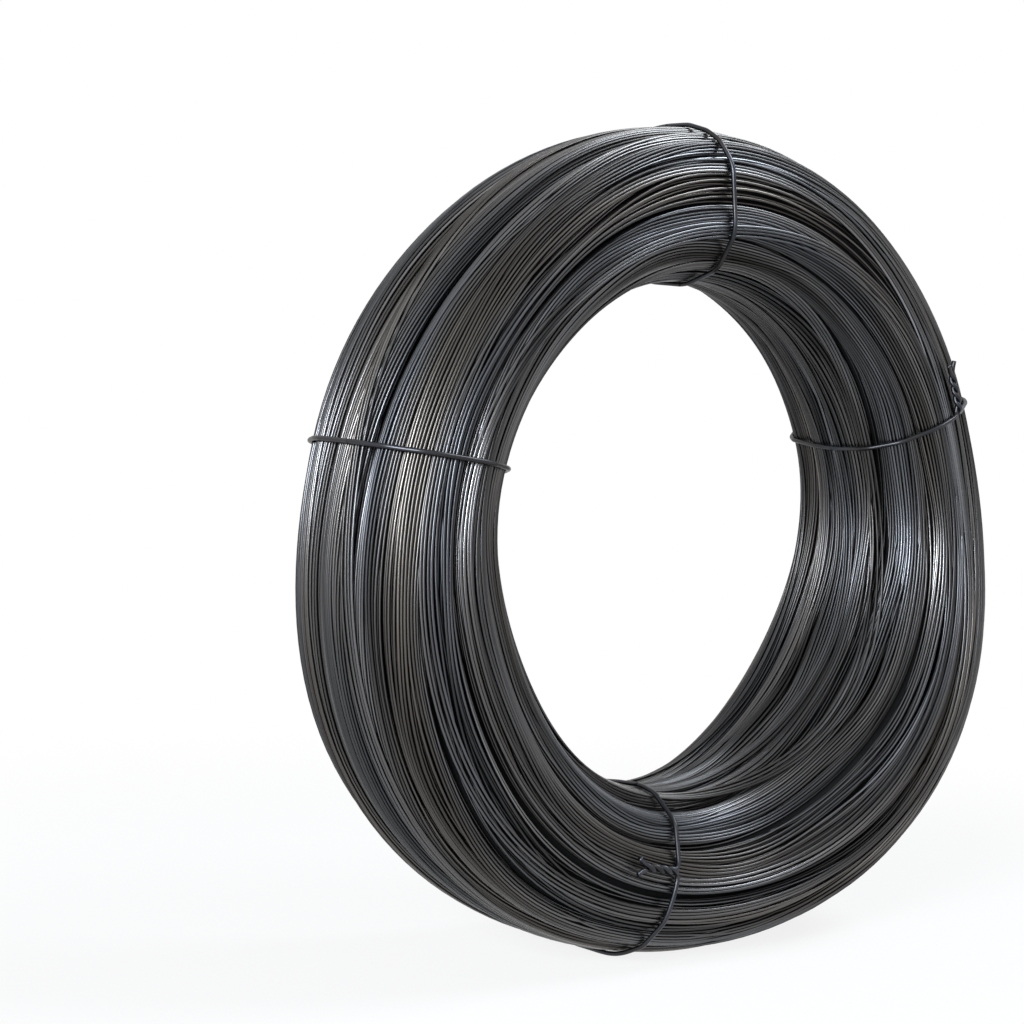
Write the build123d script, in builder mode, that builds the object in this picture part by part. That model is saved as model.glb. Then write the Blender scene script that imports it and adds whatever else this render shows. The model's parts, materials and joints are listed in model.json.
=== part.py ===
from build123d import *
from bisect import bisect_left
from math import atan2, copysign, cos, degrees, hypot, pi, radians, sin
import os

os.makedirs("parts", exist_ok=True)

# Driving sizes in millimetres and degrees. The first three are measured where a tie holds.
outer_diameter = 490
bore_diameter = 302
coil_width = 114
tie_wire_diameter = 2.8

# Angles round the coil run from the right-hand side up over the top
tie_right_angle = 23
tie_top_angle = 93
tie_left_angle = 168
tie_bottom_angle = 259

# Stations round the coil: the angle, and how much more the outer radius, the bore radius and
# the width are there. The slack turns hang out and spread low down on the right.
stations = [
    (tie_right_angle, 0, 0, 0),
    (58, -1, 1, -2),
    (tie_top_angle, -2, 1, -4),
    (131, -3, 0, 2),
    (tie_left_angle, 0, 0, 0),
    (213, 9, -4, 16),
    (tie_bottom_angle, 3, -1, 4),
    (321, 19, -8, 36),
]
section_spacing = 10.5
outline_steps = 2880

# Section through the wound turns: locks of turns side by side, with a furrow between each two.
# Each row is a furrow, and the lock that follows it. The furrow has its place, in hundredths
# of the way round the section, and its depth. It sways over and back by some millimetres, a
# few times on the way round the coil, from the angle given. Last is how far the crown of the
# lock lies below the full size. The rows run from the middle of the outside over the far face,
# the bore and the near face.
section_fullness = 2.45
locks = [
    (0.8, 2.8, 5, 2, 150, 0.2),
    (8.5, 3.4, 4, 1, 20, 0.9),
    (16.5, 3.0, 5, 2, 60, 0.0),
    (25.0, 3.6, 4, 1, 250, 0.7),
    (33.5, 3.0, 5, 2, 100, 0.3),
    (42.0, 3.6, 6, 1, 200, 1.1),
    (51.5, 3.2, 10, 1, 180, 0.5),
    (59.5, 3.8, 5, 2, 15, 0.9),
    (68.0, 4.0, 3, 3, 220, 0.3),
    (76.0, 3.4, 6, 1, 205, 0.7),
    (82.5, 3.2, 9, 2, 205, 0.0),
    (88.0, 2.4, 8, 2, 190, 0.2),
    (93.5, 4.2, 10, 2, 172, 0.0),
]

# Ties: a loop drawn tight on the locks, closed by its own two ends twisted together
tie_seat_gap = 0.3
tie_bend_radius = 14.0
twist_turns = 2
twist_pitch = 13.0
twist_gap = 0.3
tail_length = 7.0
tail_spread = 3.0
twist_lift = 0.6
loop_sides = 6
twist_sides = 5
runs_each_turn = 5


def coil_size(angle):
    # Outer radius, bore radius and width at an angle, eased from one station to the next
    first = stations[0][0]
    angle = (angle - first) % 360 + first
    closed = stations + [(first + 360, *stations[0][1:])]
    for here, after in zip(closed, closed[1:]):
        if here[0] <= angle <= after[0]:
            share = (1 - cos(pi * (angle - here[0]) / (after[0] - here[0]))) / 2
            more = [low + (high - low) * share for low, high in zip(here[1:], after[1:])]
            return outer_diameter / 2 + more[0], bore_diameter / 2 + more[1], coil_width + more[2]


def outline_point(turn, size, sunk):
    # A point on the section: its distance from the coil's axis and its place along the axis
    outer_radius, bore_radius, width = size
    across = copysign(abs(cos(turn)) ** (2 / section_fullness), cos(turn))
    along = copysign(abs(sin(turn)) ** (2 / section_fullness), sin(turn))
    middle = (outer_radius + bore_radius) / 2
    half_thickness = (outer_radius - bore_radius) / 2
    return middle + across * (half_thickness - sunk), along * (width / 2 - sunk)


def measured_outline():
    # Distance along the outline after each of many small steps, on the section at a tie
    size = coil_size(tie_left_angle)
    last = outline_point(0, size, 0)
    length = [0.0]
    for step in range(1, outline_steps + 1):
        point = outline_point(2 * pi * step / outline_steps, size, 0)
        length.append(length[-1] + hypot(point[0] - last[0], point[1] - last[1]))
        last = point
    return length


outline_length = measured_outline()


def turn_at(share):
    # Section angle at a share of the way round the outline
    laps, rest = divmod(share, 1)
    return 2 * pi * (laps + bisect_left(outline_length, rest * outline_length[-1]) / outline_steps)


def furrow_shares(angle):
    # Where the furrows are at an angle round the coil, as shares of the way round the section
    shares = []
    for place, depth, sway, times, start, sunk in locks:
        aside = sway * sin(radians(times * (angle - start)))
        shares.append(place / 100 + aside / outline_length[-1])
    return shares + [shares[0] + 1]


def section_plane(angle):
    outward = (cos(radians(angle)), 0, sin(radians(angle)))
    onward = (-sin(radians(angle)), 0, cos(radians(angle)))
    return Plane(origin=(0, 0, 0), x_dir=outward, z_dir=onward)


def draw_section(angle, grown=0.0):
    size = coil_size(angle)
    shares = furrow_shares(angle)
    depths = [lock[1] for lock in locks + locks[:1]]
    with BuildSketch(section_plane(angle)) as section:
        with BuildLine():
            for number, lock in enumerate(locks):
                start, end = shares[number], shares[number + 1]
                ThreePointArc(
                    outline_point(turn_at(start), size, depths[number] - grown),
                    outline_point(turn_at((start + end) / 2), size, lock[-1] - grown),
                    outline_point(turn_at(end), size, depths[number + 1] - grown),
                )
        make_face()
    return section


def coil_sections(first, last):
    # Sections from one station to another, close enough for the ring to look round
    closed = [station[0] for station in stations] + [stations[0][0] + 360]
    angles = []
    for here, after in zip(closed[first:last], closed[first + 1:last + 1]):
        steps = round((after - here) / section_spacing)
        angles += [here + (after - here) * step / steps for step in range(steps)]
    return [draw_section(angle).sketch for angle in angles + [closed[last]]]


# The wound turns, as one ring of locks
with BuildPart() as wire_coil:
    loft(sections=coil_sections(0, 4), ruled=True)
    loft(sections=coil_sections(4, 8), ruled=True)


def meeting_point(first, second):
    # Where two straight runs meet when both are carried on
    start, along = first @ 0, first % 0
    other, across = second @ 0, second % 0
    reach = (other - start).cross(across).Z / along.cross(across).Z
    corner = start + along * reach
    return corner.X, corner.Y


def side_of_section(run, size):
    middle = run @ 0.5
    return degrees(atan2(middle.Y, middle.X - (size[0] + size[1]) / 2)) % 360


def twist_strand(base, along_run, outward, onward, start_turn):
    # One of the two wire ends: a helix in short straight runs, then a tail that leans away
    radius = tie_wire_diameter / 2 + twist_gap / 2
    steps = twist_turns * runs_each_turn
    points = []
    for step in range(steps + 1):
        turn = start_turn + 2 * pi * step / runs_each_turn
        centre = base + onward * (twist_pitch * step / runs_each_turn)
        points.append(centre + along_run * (radius * cos(turn)) + outward * (radius * sin(turn)))
    lean = along_run * (tail_spread * cos(start_turn)) + outward * tail_spread / 2
    points.append(points[-1] + onward * tail_length + lean)
    return points


def wire_tie(angle, knot_side, pointing):
    # A tight wire turns over the crowns of the locks and runs straight from one to the next.
    # The knot is on the run at one side of the section, and lies along the furrow there.
    size = coil_size(angle)
    plane = section_plane(angle)
    stand_off = tie_wire_diameter / 2 + tie_seat_gap
    with BuildSketch() as held:
        make_hull(draw_section(angle, stand_off).sketch_local.edges())
    around = held.face().outer_wire().order_edges()
    runs = [edge for edge in around if edge.geom_type == GeomType.LINE]
    corners = [meeting_point(before, run) for before, run in zip(runs, runs[1:] + runs[:1])]
    sides = [abs((side_of_section(run, size) - knot_side + 180) % 360 - 180) for run in runs]
    knot_run = runs[sides.index(min(sides))]

    base = plane.from_local_coords(knot_run @ 0.5)
    along_run = (plane.from_local_coords(knot_run @ 1) - base).normalized()
    onward = plane.z_dir * pointing
    outward = along_run.cross(plane.z_dir).normalized()
    centre = plane.from_local_coords(((size[0] + size[1]) / 2, 0, 0))
    if outward.dot(base - centre) < 0:
        outward = outward * -1
    base += outward * (tie_wire_diameter / 2 + twist_lift)

    with BuildPart() as tie:
        with BuildLine(plane) as route:
            FilletPolyline(*corners, radius=tie_bend_radius, close=True)
        with BuildSketch(Plane(route.wire() @ 0, z_dir=route.wire() % 0)):
            RegularPolygon(tie_wire_diameter / 2, loop_sides)
        sweep(path=route.wire())
        for start_turn in (0, pi):
            points = twist_strand(base, along_run, outward, onward, start_turn)
            with BuildLine() as strand:
                Polyline(*points)
            with BuildSketch(Plane(points[0], z_dir=strand.wire() % 0)):
                RegularPolygon(tie_wire_diameter / 2, twist_sides)
            sweep(path=strand.wire(), transition=Transition.RIGHT)
    return tie


tie_left = wire_tie(tie_left_angle, knot_side=95, pointing=1)
tie_top = wire_tie(tie_top_angle, knot_side=60, pointing=1)
tie_right = wire_tie(tie_right_angle, knot_side=285, pointing=1)
tie_bottom = wire_tie(tie_bottom_angle, knot_side=262, pointing=-1)

# The origin is under the middle of the coil, on the floor that it stands on
pieces = [wire_coil, tie_left, tie_top, tie_right, tie_bottom]
whole = Compound([piece.part for piece in pieces]).bounding_box()
foot = Location((-whole.center().X, -whole.center().Y, -whole.min.Z))
for piece in pieces:
    piece.part.move(foot)

wire_coil.part.label = "wire_coil"
export_step(wire_coil.part, "parts/wire_coil.step")
tie_left.part.label = "tie_left"
export_step(tie_left.part, "parts/tie_left.step")
tie_top.part.label = "tie_top"
export_step(tie_top.part, "parts/tie_top.step")
tie_right.part.label = "tie_right"
export_step(tie_right.part, "parts/tie_right.step")
tie_bottom.part.label = "tie_bottom"
export_step(tie_bottom.part, "parts/tie_bottom.step")

print("coil axis at", foot.position, "overall size", whole.size)
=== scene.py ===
import json
from math import cos, pi, radians, sin
import bpy
import numpy as np
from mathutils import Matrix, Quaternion, Vector


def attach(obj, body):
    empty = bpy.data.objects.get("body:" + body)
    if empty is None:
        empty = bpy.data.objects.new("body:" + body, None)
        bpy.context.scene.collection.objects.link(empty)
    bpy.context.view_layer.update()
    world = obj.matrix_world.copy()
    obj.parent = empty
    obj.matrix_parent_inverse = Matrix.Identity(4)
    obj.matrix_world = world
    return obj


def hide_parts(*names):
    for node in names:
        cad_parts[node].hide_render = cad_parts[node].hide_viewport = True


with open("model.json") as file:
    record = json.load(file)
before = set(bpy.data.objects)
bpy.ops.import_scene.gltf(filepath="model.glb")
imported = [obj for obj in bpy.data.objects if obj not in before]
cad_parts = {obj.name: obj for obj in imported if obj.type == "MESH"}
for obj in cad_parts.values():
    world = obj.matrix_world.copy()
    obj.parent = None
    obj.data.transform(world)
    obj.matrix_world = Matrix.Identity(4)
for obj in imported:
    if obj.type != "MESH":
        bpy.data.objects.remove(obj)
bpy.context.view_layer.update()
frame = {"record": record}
boreMount = next(mount for mount in frame["record"]["mounts"] if mount["name"] == "bore")
coilMiddle = np.array(boreMount["pos_m"])  # where the coil's axis meets its middle plane
millimetre = 0.001
print("frame loaded, coil's middle at", coilMiddle)

# Camera

view = {
    "distance": 1.239,  # metres from the coil's middle
    "azimuth": 42.76,  # degrees, to the left of straight on to the near face
    "elevation": 2.85,
    "roll": 2.65,
    "focalPixels": 2051.0,
    "middlePixel": (666.9, 536.1),  # where the coil's middle shows
    "pictureSide": 1024,
}


def makeCamera():
    azimuth, elevation = radians(view["azimuth"]), radians(view["elevation"])
    back = Vector((-sin(azimuth) * cos(elevation), -cos(azimuth) * cos(elevation), sin(elevation)))
    data = bpy.data.cameras.new("view")
    data.sensor_width = 36
    data.lens = view["focalPixels"] / view["pictureSide"] * data.sensor_width
    data.clip_start, data.clip_end = 0.05, 60
    camera = bpy.data.objects.new("view", data)
    bpy.context.scene.collection.objects.link(camera)
    half = view["pictureSide"] / 2
    aside = Vector((view["middlePixel"][0] - half, half - view["middlePixel"][1], -view["focalPixels"]))
    turnAside = Vector((0, 0, -1)).rotation_difference(aside)  # puts the middle off the picture's centre
    rolled = Quaternion((0, 0, 1), radians(view["roll"]))
    camera.rotation_mode = "QUATERNION"
    camera.rotation_quaternion = (-back).to_track_quat("-Z", "Y") @ rolled @ turnAside.inverted()
    camera.location = Vector(coilMiddle) + back * view["distance"]
    bpy.context.scene.camera = camera


makeCamera()
print("camera made")

# Shape of the coil, in millimetres and degrees. Angles round it run from the right up over the top.

coil = {
    "outerDiameter": 490,
    "boreDiameter": 302,
    "width": 114,
    "fullness": 2.45,
    "stations": [  # angle, and how much more the outer radius, the bore radius and the width are
        (23, 0, 0, 0),
        (58, -1, 1, -2),
        (93, -2, 1, -4),
        (131, -3, 0, 2),
        (168, 0, 0, 0),
        (213, 9, -4, 16),
        (259, 3, -1, 4),
        (321, 19, -8, 36),
    ],
    "tieAngle": 168,
    "locks": [
        # furrow's place, depth, sway, times and start angle, how low its lock's crown lies,
        # how many millimetres the furrow stands open, and the angle where it is widest
        (0.8, 2.8, 5, 2, 150, 0.2, 2.5, 180),
        (8.5, 3.4, 4, 1, 20, 0.9, 3.0, 0),
        (16.5, 3.0, 5, 2, 60, 0.0, 2.5, 90),
        (25.0, 3.6, 4, 1, 250, 0.7, 3.5, 250),
        (33.5, 3.0, 5, 2, 100, 0.3, 2.5, 45),
        (42.0, 3.6, 6, 1, 200, 1.1, 3.5, 300),
        (51.5, 3.2, 10, 1, 180, 0.5, 4.0, 330),
        (59.5, 3.8, 5, 2, 15, 0.9, 6.0, 0),
        (68.0, 4.0, 3, 3, 220, 0.3, 5.0, 310),
        (76.0, 3.4, 6, 1, 205, 0.7, 4.0, 200),
        (82.5, 3.2, 9, 2, 205, 0.0, 4.0, 200),
        (88.0, 2.4, 8, 2, 190, 0.2, 3.0, 300),
        (92.4, 4.2, 10, 2, 172, 0.0, 5.5, 155),
    ],
    "wedges": [  # where a furrow gapes: its number, angle, how far that reaches, and by how much more
        (8, 356, 11, 7.0),
        (9, 3, 8, 4.0),
        (13, 196, 16, 3.0),
    ],
}


def coilSize(angles):  # half thickness, half width and middle radius at one angle or at many
    first = coil["stations"][0]
    stations = np.array(coil["stations"] + [(first[0] + 360, *first[1:])], float)
    angles = (angles - first[0]) % 360 + first[0]
    before = np.clip(np.searchsorted(stations[:, 0], angles, side="right") - 1, 0, len(stations) - 2)
    here, after = stations[before], stations[before + 1]
    eased = (1 - np.cos(pi * (angles - here[..., 0]) / (after[..., 0] - here[..., 0]))) / 2
    more = here[..., 1:] + (after[..., 1:] - here[..., 1:]) * eased[..., None]
    outer = coil["outerDiameter"] / 2 + more[..., 0]
    bore = coil["boreDiameter"] / 2 + more[..., 1]
    return (outer - bore) / 2, (coil["width"] + more[..., 2]) / 2, (outer + bore) / 2


def sectionPoint(turn, thick, wide, sunk):  # from the section's middle: outwards, and to the far side
    power = 2 / coil["fullness"]
    across = np.sign(np.cos(turn)) * np.abs(np.cos(turn)) ** power
    along = np.sign(np.sin(turn)) * np.abs(np.sin(turn)) ** power
    return across * (thick - sunk), along * (wide - sunk)


outlineSteps = 2880
outlineTurns = np.linspace(0, 2 * pi, outlineSteps + 1)
tieThick, tieWide = coilSize(coil["tieAngle"])[:2]
outline = np.stack(sectionPoint(outlineTurns, tieThick, tieWide, 0), 1)
outlineLength = np.concatenate([[0], np.cumsum(np.hypot(*np.diff(outline, axis=0).T))])


def turnAt(share):  # section angle at a share of the way round the section
    return 2 * pi * np.floor(share) + np.interp(share % 1, outlineLength / outlineLength[-1], outlineTurns)


def furrowShares(angles):  # one row for each furrow, and the first again after a whole turn
    rows = []
    for place, depth, sway, times, start, *rest in coil["locks"]:
        aside = sway * np.sin(np.radians(times * (angles - start)))
        rows.append(place / 100 + aside / outlineLength[-1])
    return np.array(rows + [rows[0] + 1])


# Winding: each lock is one wire, wound over and back in two layers, with more turns below

winding = {
    "wireDiameter": 1.8,
    "stations": 144,  # points in one turn
    "lockSides": 5,  # of the wire in the two top layers and the strays
    "belowSides": 4,
    "turns": (184, 165, 130),  # in each layer, all round the section
    "layerStep": 1.6,
    "furrowDeeper": 1.5,  # than the solid's, so many times
    "strandTurns": 5,  # turns that gather into one strand where the coil is slack
    "gather": 1.1,  # how closely they do
    "bundles": 9,  # that wander across the locks
    "bundleTurns": 4,
    "bundleSway": 12.0,
    "bundleSpacing": 1.2,  # of its turns, in wires, and how far each wavers from that
    "bundleWaver": 0.5,
    "bundleKnots": 5,
    "bunchSway": 1.2,  # how far neighbouring turns wander together
    "bunchWaves": (2, 3, 5),  # in one turn
    "bunchSpread": 3,  # how much the waves differ from one side of the lock to the other
    "strandSway": 1.0,  # the same in shorter waves
    "strandWaves": (7, 8, 10),
    "strandSpread": 9,
    "layerSpread": 2,
    "ownSway": 0.6,  # and each by itself
    "ownLift": 0.45,
    "knotsInTurn": 11,  # how often that changes
    "shellDepth": 9.0,  # how deep down turns may be pushed
    "rounds": 50,  # of pushing touching turns apart
    "push": 0.35,  # share of the overlap that each of two turns gives way
    "neighbours": 7,  # that each turn is held clear of, on either side
    "seed": 11,
}
rng = np.random.default_rng(winding["seed"])
wireRadius = winding["wireDiameter"] / 2
stationCount = winding["stations"]
stationAngles = np.arange(stationCount) * 360 / stationCount
halfThick, halfWide = coilSize(stationAngles)[:2]
furrows = furrowShares(stationAngles)
furrowDepths = np.array([depth for place, depth, *rest in coil["locks"] + coil["locks"][:1]])
furrowDepths = furrowDepths * winding["furrowDeeper"]
crownDepths = np.array([sunk for *rest, sunk, wide, widestAngle in coil["locks"]])


def furrowOpenings():
    rows = []
    for *rest, wide, widestAngle in coil["locks"]:  # each narrows to 0.3 of its width on the other side
        rows.append(wide * (0.65 + 0.35 * np.cos(np.radians(stationAngles - widestAngle))))
    for number, angle, reach, more in coil["wedges"]:
        away = (stationAngles - angle + 180) % 360 - 180
        rows[number - 1] = rows[number - 1] + more * np.exp(-(away / reach) ** 2)
    return np.array(rows + rows[:1])


furrowWidths = furrowOpenings()


def smoothNoise(count, knots):  # wavers along a closed wire, about one unit high
    values = rng.normal(size=knots)
    places = np.arange(count) * knots / count
    before = np.floor(places).astype(int)
    part = places - before
    four = [values[(before + step) % knots] for step in (-1, 0, 1, 2)]
    slopeIn, slopeOut = (four[2] - four[0]) / 2, (four[3] - four[1]) / 2
    cubic = 2 * (four[1] - four[2]) + slopeIn + slopeOut
    square = 3 * (four[2] - four[1]) - 2 * slopeIn - slopeOut
    return ((cubic * part + square) * part + slopeIn) * part + four[1]


def waves(times, shift):  # a sum of sine waves round the coil, about one unit high, each turn's shifted
    total = np.zeros(shift.shape)
    for count in times:
        phase = np.radians(stationAngles) * count + rng.uniform(0, 2 * pi)
        total += np.sin(phase + rng.uniform(-1, 1) * shift)
    return total / len(times) ** 0.5


def windLock(number, places, inTopLayer):
    # The wire's share and depth all along. It goes from each place to the next in one turn.
    count = len(places)
    steps = np.arange(stationCount) / stationCount
    now = np.array(places)
    after = np.roll(now, -1, axis=0)
    path = now[:, None, :] + (after - now)[:, None, :] * steps[None, :, None]
    lateral, layer = path[..., 0], path[..., 1]
    strands = max(2, round(inTopLayer / winding["strandTurns"]))
    strandMiddle = (np.floor(np.clip(lateral, 0, 0.999) * strands) + 0.5) / strands
    slack = 1 - (tieThick + tieWide) / (halfThick + halfWide)
    inTop = layer < 0.5
    lateral = lateral - (lateral - strandMiddle) * slack * winding["gather"] * inTop
    start, end = furrows[number], furrows[number + 1]
    share = start + (end - start) * lateral
    bunch = waves(winding["bunchWaves"], lateral * winding["bunchSpread"])
    strandShift = lateral * winding["strandSpread"] + layer * winding["layerSpread"]
    strand = waves(winding["strandWaves"], strandShift)
    knots = count * winding["knotsInTurn"]
    own = smoothNoise(count * stationCount, knots).reshape(count, stationCount)
    lift = smoothNoise(count * stationCount, knots).reshape(count, stationCount)
    pinch = 4 * lateral * (1 - lateral)  # turns beside a furrow keep to it
    together = winding["bunchSway"] * bunch + winding["strandSway"] * strand
    aside = together * pinch + winding["ownSway"] * own
    share = share + aside / outlineLength[-1]
    depth = layer * winding["layerStep"] + wireRadius + winding["ownLift"] * np.abs(lift)
    return share, depth


def planWinding():
    wires = []  # each wire's kind, lock, shares and depths
    lockWidth = np.diff(furrows[:, 0])
    for number in range(len(coil["locks"])):
        counts = [max(3, round(turns * lockWidth[number])) for turns in winding["turns"]]
        there = [((slot + 0.5) / counts[0], 0.0) for slot in range(counts[0])]
        back = [((slot + 0.5) / counts[1], 1.0) for slot in reversed(range(counts[1]))]
        under = [((slot + 0.5) / counts[2], 2.0) for slot in range(counts[2])]
        wires.append(("lock", number, *windLock(number, there + back, counts[0])))
        wires.append(("under", number, *windLock(number, under, counts[0])))
    for number in range(winding["bundles"]):
        base = (number + rng.uniform(0, 1)) / winding["bundles"]
        sway = np.zeros(stationCount)
        for times in (1, 2, 3):
            high = winding["bundleSway"] * rng.uniform(0.4, 1.0) / times
            sway += high * np.sin(np.radians(stationAngles) * times + rng.uniform(0, 2 * pi))
        for turn in range(winding["bundleTurns"]):
            waver = winding["bundleWaver"] * smoothNoise(stationCount, winding["bundleKnots"])
            beside = winding["wireDiameter"] * (winding["bundleSpacing"] * turn + waver)
            share = (base + (sway + beside) / outlineLength[-1])[None, :]
            wires.append(("stray", -1, share, np.full(share.shape, wireRadius)))
    return wires


wires = planWinding()
firstTurn = np.cumsum([0] + [len(wire[2]) for wire in wires])
nextPoint = np.arange(firstTurn[-1] * stationCount) + 1
nextPoint[firstTurn[1:] * stationCount - 1] = firstTurn[:-1] * stationCount  # each wire closes on itself
previousPoint = np.argsort(nextPoint)
print("winding planned,", firstTurn[-1], "turns of", len(wires), "wires")


def sharePoint(share, depth):
    turn = turnAt(share)
    reach = 1 / (np.cos(turn) ** 2 / halfThick + np.sin(turn) ** 2 / halfWide)
    return np.stack(sectionPoint(turn, halfThick, halfWide, 0), -1) * (1 - depth / reach)[..., None]


def pointShare(points):  # the share and depth that a section point lies at
    fullness = coil["fullness"]
    first = (np.abs(points[..., 0]) / halfThick) ** fullness
    second = (np.abs(points[..., 1]) / halfWide) ** fullness
    level = (first + second) ** (1 / fullness)
    turn = np.arctan2(np.sign(points[..., 1]) * second ** 0.5, np.sign(points[..., 0]) * first ** 0.5)
    share = np.interp(turn % (2 * pi), outlineTurns, outlineLength / outlineLength[-1])
    return share, (1 - level) * (first + second) / (first / halfThick + second / halfWide)


def evenOut(shift):
    # Each turn's shift is eased along the wire. Turns of one wire follow each other at the seam.
    flat = shift.reshape(-1, 2)
    return (flat * 0.5 + (flat[previousPoint] + flat[nextPoint]) * 0.25).reshape(shift.shape)


def settle():
    # Pushes turns that touch apart, inside their own lock, and keeps each turn smooth
    lock = np.concatenate([np.full(len(wire[2]), wire[1]) for wire in wires])
    inLock = (lock >= 0)[:, None]
    below = np.concatenate([np.full(len(wire[2]), wire[0] == "under") for wire in wires])[:, None]
    start, end = furrows[lock], furrows[lock + 1]
    clear = (furrowWidths + wireRadius) / 2 / outlineLength[-1]
    low, high = start + np.where(below, 0, clear[lock]), end - np.where(below, 0, clear[lock + 1])
    crown = np.where(inLock, crownDepths[lock][:, None], 0.0)
    edges = furrowDepths[lock][:, None], furrowDepths[lock + 1][:, None]

    def lockSurface(share):  # how deep the lock's rounded surface lies, from its crown to its edges
        reach = np.clip((2 * share - start - end) / (end - start), -1, 1)
        edge = np.where(reach < 0, edges[0], edges[1])
        return np.where(inLock, crown + (edge - crown) * reach ** 2, 0.0)

    def keepInLock(share, depth):
        share = np.where(inLock, start + (share - start + 0.25) % 1 - 0.25, share)  # past the seam too
        share = np.where(inLock, np.clip(share, low, high), share)
        skin = lockSurface(share) + wireRadius
        return sharePoint(share, np.clip(depth, skin, np.maximum(winding["shellDepth"], skin + 1)))

    share = np.concatenate([wire[2] for wire in wires])
    depth = np.concatenate([wire[3] for wire in wires])
    want = keepInLock(share, depth + lockSurface(share))
    here = want.copy()
    columns = np.arange(stationCount)[None, :]
    for step in range(winding["rounds"]):
        around = np.arctan2(here[..., 1] / halfWide, here[..., 0] / halfThick)
        order = np.argsort(around, axis=0)
        inOrder = here[order, columns]
        push = np.zeros(inOrder.shape)
        for offset in range(1, winding["neighbours"] + 1):
            apart = np.roll(inOrder, -offset, axis=0) - inOrder
            far = np.maximum(np.linalg.norm(apart, axis=-1, keepdims=True), 0.05)  # never nought
            move = apart / far * np.maximum(winding["wireDiameter"] - far, 0) * winding["push"]
            push += np.roll(move, offset, axis=0) - move
        moved = np.empty(here.shape)
        moved[order, columns] = inOrder + push
        here = keepInLock(*pointShare(want + evenOut(moved - want)))
    return here


settled = settle()
print("turns settled")


def placeInCoil(points, angles):  # section points to the shared frame, in metres
    radius = points[..., 0] + coilSize(angles)[2]
    angles = np.radians(angles)
    place = np.stack([radius * np.cos(angles), points[..., 1], radius * np.sin(angles)], -1)
    return place * millimetre + coilMiddle


def wireMesh(name, paths, closed, radius, sides):
    # Round wires along paths. Each path is its points, its number of turns, how cool its colour is
    # and how bright it is: worn, and on the coil's turns darker round the bore as painted shade.
    # The map lays each turn out straight, side by side, and the material reads the attributes.
    vertices, faces, corners = [], [], []
    along, cool, brightness, numbers = [], [], [], []
    count, row = 0, 0
    rowCount = sum(turns for points, turns, *rest in paths)
    ring = np.arange(sides)
    spin = 2 * pi * ring / sides
    circle = np.stack([np.cos(spin), np.sin(spin)], 1)
    for number, (path, turns, coolness, wearAndShade) in enumerate(paths):
        if closed:
            tangent = np.roll(path, -1, axis=0) - np.roll(path, 1, axis=0)
        else:
            tangent = np.vstack([path[1:], path[-1:]]) - np.vstack([path[:1], path[:-1]])
        tangent /= np.linalg.norm(tangent, axis=1, keepdims=True)
        side, up = steadyFrame(tangent)
        offset = circle[None, :, :1] * side[:, None] + circle[None, :, 1:] * up[:, None]
        reach = np.concatenate([[0], np.cumsum(np.linalg.norm(np.diff(path, axis=0), axis=1))])
        steps = np.arange(len(path) if closed else len(path) - 1)
        here, after = steps[:, None] * sides, (steps[:, None] + 1) % len(path) * sides
        beside = (ring + 1) % sides
        quads = np.stack([here + ring, here + beside, after + beside, after + ring], -1).reshape(-1, 4)
        faces += (quads + count).tolist()
        inTurn = len(steps) / turns
        left = (steps % inTurn / inTurn)[:, None] + 0 * ring
        right = left + 1 / inTurn
        lane = (row + np.floor(steps / inTurn))[:, None]
        low = (lane + ring / (sides + 1)) / rowCount
        high = (lane + (ring + 1) / (sides + 1)) / rowCount
        corners.append(np.stack([left, low, left, high, right, high, right, low], -1).reshape(-1, 2))
        if not closed:  # the two cut ends lie in a corner of the map
            faces.append((ring[::-1] + count).tolist())
            faces.append((ring + count + (len(path) - 1) * sides).tolist())
            corners.append(0.999 - 0.001 * np.tile(circle, (2, 1)))
        vertices.append((path[:, None] + offset * radius).reshape(-1, 3))
        along.append(np.repeat(reach, sides))
        cool.append(np.repeat(coolness, sides))
        brightness.append(np.repeat(wearAndShade, sides))
        numbers.append(np.full(len(path) * sides, number, float))
        count += len(path) * sides
        row += turns
    mesh = bpy.data.meshes.new(name)
    mesh.from_pydata(np.concatenate(vertices).tolist(), [], faces)
    uvMap = mesh.uv_layers.new(name="OFBake")
    uvMap.data.foreach_set("uv", np.concatenate(corners).ravel().astype(np.float32))
    # the brightness attribute carries wear and, round the bore, painted shade
    for label, values in (("alongWire", along), ("cool", cool), ("brightness", brightness), ("wireNumber", numbers)):
        attribute = mesh.attributes.new(label, "FLOAT", "POINT")
        attribute.data.foreach_set("value", np.concatenate(values).astype(np.float32))
    mesh.shade_smooth()
    piece = bpy.data.objects.new(name, mesh)
    bpy.context.scene.collection.objects.link(piece)
    return piece


def steadyFrame(tangent):  # two directions across a path that never spin round it
    axis = np.array([0.0, 1.0, 0.0])
    side = axis - tangent * (tangent @ axis)[:, None]
    side /= np.linalg.norm(side, axis=1, keepdims=True)
    return side, np.cross(tangent, side)


patches = {  # how the colour changes over the coil, in patches that follow the turns
    "coolAcross": (2, 11),  # fewest and most patches round the section
    "wornAcross": (9, 34),
    "alongCoil": 4,  # most patches round the coil
    "waves": 12,  # added together
    "cool": 0.28,  # how much the patches differ
    "brightness": 0.29,
    "ownCool": 0.1,  # and how much each turn differs from its neighbours
    "ownWorn": 0.18,
    "ownKnots": 9,  # in each turn
    "borePaintedShade": 0.28,  # painted shade: the turns round the bore are coloured darker, for the shade inside the bore
    "boreReach": 0.14,  # that far round the section, on each side of the bore's middle
}


def makePatches(share, across):  # smooth noise over the coil, about one unit high
    total = np.zeros(share.shape)
    for wave in range(patches["waves"]):
        around = rng.integers(across[0], across[1] + 1)
        along = rng.integers(-patches["alongCoil"], patches["alongCoil"] + 1)
        phase = 2 * pi * around * share + along * np.radians(stationAngles)
        total += np.sin(phase + rng.uniform(0, 2 * pi))
    return total / (patches["waves"] / 2) ** 0.5


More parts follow.
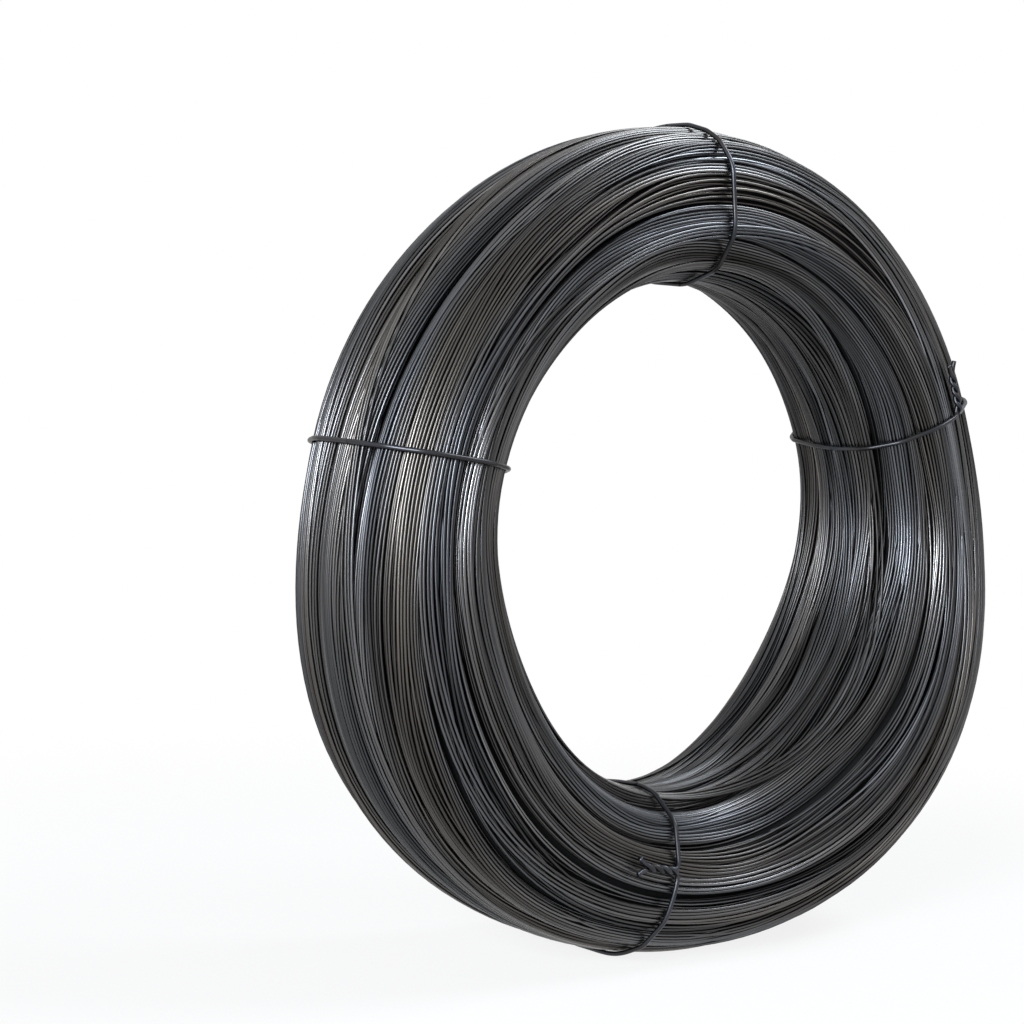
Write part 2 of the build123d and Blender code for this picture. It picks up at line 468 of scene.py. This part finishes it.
def makeTurns():
    place = placeInCoil(settled, np.broadcast_to(stationAngles, settled.shape[:2]))
    share = pointShare(settled)[0]
    coolness = makePatches(share, patches["coolAcross"])
    wearAndShade = makePatches(share, patches["wornAcross"])
    own = smoothNoise(share.size, len(share) * patches["ownKnots"]).reshape(share.shape)
    coolness = 0.5 + patches["cool"] * coolness + patches["ownCool"] * own
    atBore = np.clip(1 - np.abs(share - 0.5) / patches["boreReach"], 0, 1)
    wearAndShade = 0.5 + patches["brightness"] * wearAndShade + patches["ownWorn"] * own
    # painted shade: the turns round the bore are coloured darker, standing in for the shade inside the
    # bore
    wearAndShade = wearAndShade - patches["borePaintedShade"] * atBore ** 0.7
    names = {"under": "turns_below", "stray": "turns_stray"}
    groups = {}
    for (kind, number, *rest), start, end in zip(wires, firstTurn[:-1], firstTurn[1:]):
        name = names.get(kind, f"turns_lock_{number + 1:02d}")
        path, turns = place[start:end].reshape(-1, 3), end - start
        tones = coolness[start:end].ravel(), wearAndShade[start:end].ravel()
        groups.setdefault(name, []).append((path, turns, *tones))
    pieces = []
    for name, paths in groups.items():
        sides = winding["belowSides"] if name == "turns_below" else winding["lockSides"]
        pieces.append(wireMesh(name, paths, True, wireRadius * millimetre, sides))
    return pieces


turnPieces = makeTurns()
for piece in turnPieces:
    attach(piece, "root")
    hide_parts("wire_coil")
print("turns made:", {piece.name: len(piece.data.polygons) for piece in turnPieces})

# Core: a shell in place of the turns deep inside, coloured near black as painted shade where it shows
# between the others

core = {
    "depth": 10.5,  # below the coil's full size
    "stations": 120,
    "sides": 72,
}


def makeCore():
    angles = np.arange(core["stations"]) * 360 / core["stations"]
    thick, wide, middle = coilSize(angles)
    turns = np.arange(core["sides"]) * 2 * pi / core["sides"]
    x, y = sectionPoint(turns[None, :], thick[:, None], wide[:, None], core["depth"])
    points = placeInCoil(np.stack([x, y], -1), np.broadcast_to(angles[:, None], x.shape))
    faces = []
    for row in range(core["stations"]):
        after = (row + 1) % core["stations"]
        for side in range(core["sides"]):
            beside = (side + 1) % core["sides"]
            faces.append((row * core["sides"] + side, after * core["sides"] + side,
                          after * core["sides"] + beside, row * core["sides"] + beside))
    mesh = bpy.data.meshes.new("turns_core")
    mesh.from_pydata(points.reshape(-1, 3).tolist(), [], faces)
    mesh.shade_smooth()
    piece = bpy.data.objects.new("turns_core", mesh)
    bpy.context.scene.collection.objects.link(piece)
    return piece


corePiece = makeCore()
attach(corePiece, "root")
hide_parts("wire_coil")
print("core made")

# Ties: each is one wire, round the bundle and twisted shut with its own two ends

tie = {
    "diameter": 2.8,
    "seatGap": 0.1,
    "sides": 10,
    "pointStep": 1.1,
    "waver": 1.2,  # how far the loop strays from a true section
    "twistPitch": 13.0,
    "twistTurns": 2.0,
    "twistLift": 2.0,
    "twistGap": 0.1,  # between the two ends
    "twistSteps": 24,  # points in one turn of the twist
    "riseSteps": 6,  # in which the twist lifts off the bundle
    "tail": 7.0,
    "tailSpread": 3.0,
    "easings": 3,  # that round the bends off
    "directions": 720,  # from which the loop is drawn tight
    "tone": 0.2,  # how much its colour and its wear change
    "tonePoints": 12,  # from one change to the next
    "wearPoints": 9,  # by which its wear lags behind its colour
}
ties = {  # angle round the coil, section angle of the knot, which way it points, and the bore side's lean
    "tie_left": (168, 95, 1, -5.0),
    "tie_top": (93, 60, 1, -2.0),
    "tie_right": (23, 285, 1, -2.0),
    "tie_bottom": (259, 262, -1, 4.0),
}


def turnsAt(angle):  # where every turn crosses the section at an angle
    place = (angle % 360) / 360 * stationCount
    before = int(place)
    part = place - before
    return settled[:, before] * (1 - part) + settled[:, (before + 1) % stationCount] * part


def tightLoop(points, standOff, step):  # a wire drawn tight round points, evenly spaced
    directions = np.linspace(0, 2 * pi, tie["directions"], endpoint=False)
    outward = np.stack([np.cos(directions), np.sin(directions)], 1)
    touching = points[np.argmax(outward @ points.T, axis=1)]
    loop = touching + outward * standOff
    return evenly(np.vstack([loop, loop[:1]]), step)[:-1]


def evenly(path, step):  # the same path with its points evenly spaced
    reach = np.concatenate([[0], np.cumsum(np.linalg.norm(np.diff(path, axis=0), axis=1))])
    keep = np.concatenate([[True], np.diff(reach) > 1e-6])
    path, reach = path[keep], reach[keep]
    places = np.linspace(0, reach[-1], max(2, round(reach[-1] / step)) + 1)
    return np.stack([np.interp(places, reach, path[:, axis]) for axis in range(path.shape[1])], 1)


def makeTie(name):
    angle, knotSide, pointing, lean = ties[name]
    tieRadius = tie["diameter"] / 2
    loop = tightLoop(turnsAt(angle), wireRadius + tieRadius + tie["seatGap"], tie["pointStep"])
    thick, wide, middle = coilSize(angle)
    side = np.degrees(np.arctan2(loop[:, 1] / wide, loop[:, 0] / thick)) % 360
    knot = int(np.argmin(np.abs((side - knotSide + 180) % 360 - 180)))
    loop = np.roll(loop, -knot, axis=0)
    radial = np.array([cos(radians(angle)), 0, sin(radians(angle))])
    onward = np.array([-sin(radians(angle)), 0, cos(radians(angle))])
    axial = np.array([0.0, 1.0, 0.0])

    def toSpace(point, along):
        return point[0] * radial + point[1] * axial + middle * radial + along * onward

    path = []
    for number, point in enumerate(loop):
        phase = 2 * pi * number / len(loop)
        atBore = (1 - point[0] / thick) / 2
        path.append(toSpace(point, tie["waver"] * sin(2 * phase) * sin(phase / 2) + lean * atBore))
    path = np.array(path)
    base = path[0]
    runAlong = path[1] - path[-1]
    runAlong /= np.linalg.norm(runAlong)
    outward = np.cross(runAlong, onward)
    outward *= np.sign(outward @ (base - middle * radial))
    outward /= np.linalg.norm(outward)
    onward = onward * pointing
    trim = max(1, round(tie["diameter"] / tie["pointStep"]))

    def twisted(startTurn):  # one end: it leaves the loop, winds round the other, and leans away
        points = []
        radius = tieRadius + tie["twistGap"] / 2
        for step in range(round(tie["twistSteps"] * tie["twistTurns"]) + 1):
            turn = startTurn + 2 * pi * step / tie["twistSteps"]
            along = tie["twistPitch"] * step / tie["twistSteps"] + tieRadius
            lift = tie["twistLift"] * min(1.0, step / tie["riseSteps"]) + radius * sin(turn)
            points.append(base + onward * along + outward * lift + runAlong * radius * cos(turn))
        away = runAlong * cos(startTurn) * tie["tailSpread"] + outward * tie["tailSpread"] * 0.5
        for part in (0.35, 0.65):  # the tail leans more and more
            points.append(points[-1] + onward * tie["tail"] * 0.5 + away * part)
        return points

    first, second = twisted(0.0), twisted(pi)
    route = np.array(first[::-1] + list(path[trim:-trim]) + second)
    route = evenly(route, tie["pointStep"])
    for step in range(tie["easings"]):
        route[1:-1] = route[1:-1] * 0.5 + (route[:-2] + route[2:]) * 0.25
    tone = 0.5 + tie["tone"] * smoothNoise(len(route), len(route) // tie["tonePoints"])
    paths = [(route * millimetre + coilMiddle, 1, tone, np.roll(tone, tie["wearPoints"]))]
    return wireMesh(name + "_wire", paths, False, tieRadius * millimetre, tie["sides"])


tiePieces = []
for name in ties:
    piece = makeTie(name)
    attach(piece, "root")
    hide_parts(name)
    tiePieces.append(piece)
print("ties made")

# Materials


def addNode(nodes, kind, **values):
    node = nodes.new(kind)
    for name, value in values.items():
        setattr(node, name, value)
    return node


def makeWireFinish():
    # Annealed wire: colour that runs from warm to cool, worn brighter or darker, darker round the bore as
    # painted shade, and mottled with scale
    group = bpy.data.node_groups.new("wireFinish", "ShaderNodeTree")
    for name in ("Warm Color", "Cool Color"):
        group.interface.new_socket(name, in_out="INPUT", socket_type="NodeSocketColor")
    for name in ("Contrast", "Mottle Size", "Mottle", "Smoothest", "Roughest"):
        group.interface.new_socket(name, in_out="INPUT", socket_type="NodeSocketFloat")
    for name, kind in (("Color", "Color"), ("Roughness", "Float"), ("Height", "Float")):
        group.interface.new_socket(name, in_out="OUTPUT", socket_type="NodeSocket" + kind)
    nodes, links = group.nodes, group.links
    inputs, outputs = nodes.new("NodeGroupInput"), nodes.new("NodeGroupOutput")
    cool = addNode(nodes, "ShaderNodeAttribute", attribute_name="cool")
    brightness = addNode(nodes, "ShaderNodeAttribute", attribute_name="brightness")
    along = addNode(nodes, "ShaderNodeAttribute", attribute_name="alongWire")
    number = addNode(nodes, "ShaderNodeAttribute", attribute_name="wireNumber")
    place = nodes.new("ShaderNodeCombineXYZ")
    links.new(along.outputs["Fac"], place.inputs["X"])
    links.new(number.outputs["Fac"], place.inputs["Y"])
    scale = addNode(nodes, "ShaderNodeMath", operation="DIVIDE")
    scale.inputs[0].default_value = 1.0
    links.new(inputs.outputs["Mottle Size"], scale.inputs[1])
    mottle = nodes.new("ShaderNodeTexNoise")
    mottle.inputs["Detail"].default_value = 4
    mottle.inputs["Roughness"].default_value = 0.6
    links.new(place.outputs[0], mottle.inputs["Vector"])
    links.new(scale.outputs[0], mottle.inputs["Scale"])
    centred = addNode(nodes, "ShaderNodeMath", operation="SUBTRACT")
    centred.inputs[1].default_value = 0.5
    links.new(mottle.outputs["Fac"], centred.inputs[0])
    mottled = addNode(nodes, "ShaderNodeMath", operation="MULTIPLY_ADD")  # wear and painted bore shade, with the mottle added
    links.new(centred.outputs[0], mottled.inputs[0])
    links.new(inputs.outputs["Mottle"], mottled.inputs[1])
    links.new(brightness.outputs["Fac"], mottled.inputs[2])
    hue = addNode(nodes, "ShaderNodeMix", data_type="RGBA", clamp_factor=True)
    links.new(cool.outputs["Fac"], hue.inputs["Factor"])
    links.new(inputs.outputs["Warm Color"], hue.inputs["A"])
    links.new(inputs.outputs["Cool Color"], hue.inputs["B"])
    fromMiddle = addNode(nodes, "ShaderNodeMath", operation="SUBTRACT")
    fromMiddle.inputs[1].default_value = 0.5
    links.new(mottled.outputs[0], fromMiddle.inputs[0])
    level = addNode(nodes, "ShaderNodeMath", operation="MULTIPLY")
    links.new(fromMiddle.outputs[0], level.inputs[0])
    links.new(inputs.outputs["Contrast"], level.inputs[1])
    bright = addNode(nodes, "ShaderNodeMath", operation="POWER")
    bright.inputs[0].default_value = 2.0
    links.new(level.outputs[0], bright.inputs[1])
    color = addNode(nodes, "ShaderNodeVectorMath", operation="SCALE")
    links.new(hue.outputs["Result"], color.inputs[0])
    links.new(bright.outputs[0], color.inputs["Scale"])
    rough = nodes.new("ShaderNodeMapRange")
    links.new(mottled.outputs[0], rough.inputs["Value"])
    links.new(inputs.outputs["Roughest"], rough.inputs["To Min"])
    links.new(inputs.outputs["Smoothest"], rough.inputs["To Max"])
    links.new(color.outputs[0], outputs.inputs["Color"])
    links.new(rough.outputs[0], outputs.inputs["Roughness"])
    links.new(mottle.outputs["Fac"], outputs.inputs["Height"])
    return group


wireFinish = makeWireFinish()
finishes = {
    "annealed_wire": {
        "Warm Color": (0.085, 0.079, 0.073, 1),
        "Cool Color": (0.078, 0.082, 0.090, 1),
        "Contrast": 1.6,
        "Mottle Size": 0.02,  # metres
        "Mottle": 0.3,
        "Smoothest": 0.27,  # roughness where it is worn most
        "Roughest": 0.39,
    },
    "tie_wire": {
        "Warm Color": (0.045, 0.042, 0.042, 1),
        "Cool Color": (0.040, 0.044, 0.052, 1),
        "Contrast": 1.0,
        "Mottle Size": 0.012,
        "Mottle": 0.5,
        "Smoothest": 0.3,
        "Roughest": 0.45,
    },
}


def makeFinish(name):
    material = bpy.data.materials.new(name)
    material.use_nodes = True
    nodes, links = material.node_tree.nodes, material.node_tree.links
    shader = nodes["Principled BSDF"]
    finish = addNode(nodes, "ShaderNodeGroup", node_tree=wireFinish)
    for socket, value in finishes[name].items():
        finish.inputs[socket].default_value = value
    bump = nodes.new("ShaderNodeBump")
    bump.inputs["Strength"].default_value = 0.2
    bump.inputs["Distance"].default_value = 0.0001
    links.new(finish.outputs["Height"], bump.inputs["Height"])
    links.new(bump.outputs[0], shader.inputs["Normal"])
    links.new(finish.outputs["Color"], shader.inputs["Base Color"])
    links.new(finish.outputs["Roughness"], shader.inputs["Roughness"])
    shader.inputs["Metallic"].default_value = 1.0
    return material


def makeCoreShade():
    material = bpy.data.materials.new("core_painted_shade")
    material.use_nodes = True
    nodes, links = material.node_tree.nodes, material.node_tree.links
    shader = nodes["Principled BSDF"]
    noise = nodes.new("ShaderNodeTexNoise")
    noise.inputs["Scale"].default_value = 40
    ramp = nodes.new("ShaderNodeValToRGB")
    # painted shade: near-black colour for the shade deep between the turns, far darker than the wire
    # itself
    ramp.color_ramp.elements[0].color = (0.004, 0.004, 0.004, 1)
    ramp.color_ramp.elements[1].color = (0.01, 0.01, 0.01, 1)
    links.new(noise.outputs["Fac"], ramp.inputs["Fac"])
    links.new(ramp.outputs["Color"], shader.inputs["Base Color"])
    shader.inputs["Roughness"].default_value = 0.9
    shader.inputs["Specular IOR Level"].default_value = 0.1
    return material


wireSkin = makeFinish("annealed_wire")
coreShade = makeCoreShade()
tieSkin = makeFinish("tie_wire")
for piece in turnPieces:
    piece.data.materials.append(wireSkin)
corePiece.data.materials.append(coreShade)
for piece in tiePieces:
    piece.data.materials.append(tieSkin)
print("materials made")

# Studio

studio = {
    "floorSide": 8.0,
    "worldStrength": 0.15,  # the light that the world gives
    "nearWhite": 0.85,  # how white the floor shows beside the coil, and it is fully white further off
    "fadeFrom": 0.35,
    "fadeTo": 0.9,
    "windows": [  # soft lamps: name, direction, distance, size, power and colour
        ("side_window", (-0.9, -0.45, 0.28), 2.6, (0.9, 0.9), 115, (0.87, 0.93, 1.0)),
        ("top_window", (0.55, -0.3, 0.75), 2.6, (1.3, 0.9), 55, (0.87, 0.94, 1.0)),
    ],
}


def seenDirectly(nodes, links):  # 1 where the camera sees it, also mirrored in metal or through glass
    path = nodes.new("ShaderNodeLightPath")
    seen = addNode(nodes, "ShaderNodeMath", operation="MAXIMUM")
    seenOrMirrored = addNode(nodes, "ShaderNodeMath", operation="MAXIMUM")
    links.new(path.outputs["Is Camera Ray"], seen.inputs[0])
    links.new(path.outputs["Is Transmission Ray"], seen.inputs[1])
    links.new(seen.outputs[0], seenOrMirrored.inputs[0])
    links.new(path.outputs["Is Glossy Ray"], seenOrMirrored.inputs[1])
    return seenOrMirrored.outputs[0]


def makeFloor():
    mesh = bpy.data.meshes.new("floor")
    half = studio["floorSide"] / 2
    corners = [(-half, -half, 0), (half, -half, 0), (half, half, 0), (-half, half, 0)]
    mesh.from_pydata(corners, [], [(0, 1, 2, 3)])
    floor = bpy.data.objects.new("floor", mesh)
    bpy.context.scene.collection.objects.link(floor)
    material = bpy.data.materials.new("pale_floor")
    material.use_nodes = True
    nodes, links = material.node_tree.nodes, material.node_tree.links
    shader = nodes["Principled BSDF"]
    shader.inputs["Base Color"].default_value = (0.8, 0.8, 0.8, 1)
    shader.inputs["Roughness"].default_value = 0.9
    glow = nodes.new("ShaderNodeEmission")
    glow.inputs["Strength"].default_value = 1.0
    place = nodes.new("ShaderNodeTexCoord")
    far = addNode(nodes, "ShaderNodeVectorMath", operation="LENGTH")
    fade = addNode(nodes, "ShaderNodeMapRange", interpolation_type="SMOOTHSTEP")
    fade.inputs["From Min"].default_value = studio["fadeFrom"]
    fade.inputs["From Max"].default_value = studio["fadeTo"]
    fade.inputs["To Min"].default_value = studio["nearWhite"]
    fade.inputs["To Max"].default_value = 1.0
    links.new(place.outputs["Object"], far.inputs[0])
    links.new(far.outputs["Value"], fade.inputs["Value"])
    white = addNode(nodes, "ShaderNodeMath", operation="MULTIPLY")
    links.new(seenDirectly(nodes, links), white.inputs[0])
    links.new(fade.outputs[0], white.inputs[1])
    mix = nodes.new("ShaderNodeMixShader")
    links.new(white.outputs[0], mix.inputs["Fac"])
    links.new(shader.outputs[0], mix.inputs[1])
    links.new(glow.outputs[0], mix.inputs[2])
    links.new(mix.outputs[0], nodes["Material Output"].inputs["Surface"])
    floor.data.materials.append(material)


def makeWorld():
    world = bpy.data.worlds.new("studio")
    bpy.context.scene.world = world
    world.use_nodes = True
    nodes, links = world.node_tree.nodes, world.node_tree.links
    background = nodes["Background"]
    background.inputs["Color"].default_value = (1, 1, 1, 1)
    strength = nodes.new("ShaderNodeMapRange")
    strength.inputs["To Min"].default_value = studio["worldStrength"]
    strength.inputs["To Max"].default_value = 1.0
    links.new(seenDirectly(nodes, links), strength.inputs["Value"])
    links.new(strength.outputs[0], background.inputs["Strength"])


def addWindow(name, direction, distance, size, power, color):
    data = bpy.data.lights.new(name, "AREA")
    data.shape = "RECTANGLE"
    data.size, data.size_y = size
    data.energy = power
    data.color = color
    light = bpy.data.objects.new(name, data)
    toLight = Vector(direction).normalized()
    light.location = Vector(coilMiddle) + toLight * distance
    light.rotation_mode = "QUATERNION"
    light.rotation_quaternion = toLight.to_track_quat("Z", "Y")
    bpy.context.scene.collection.objects.link(light)


makeFloor()
makeWorld()
for window in studio["windows"]:
    addWindow(*window)
bpy.context.scene.view_settings.view_transform = "Standard"
print("studio made")
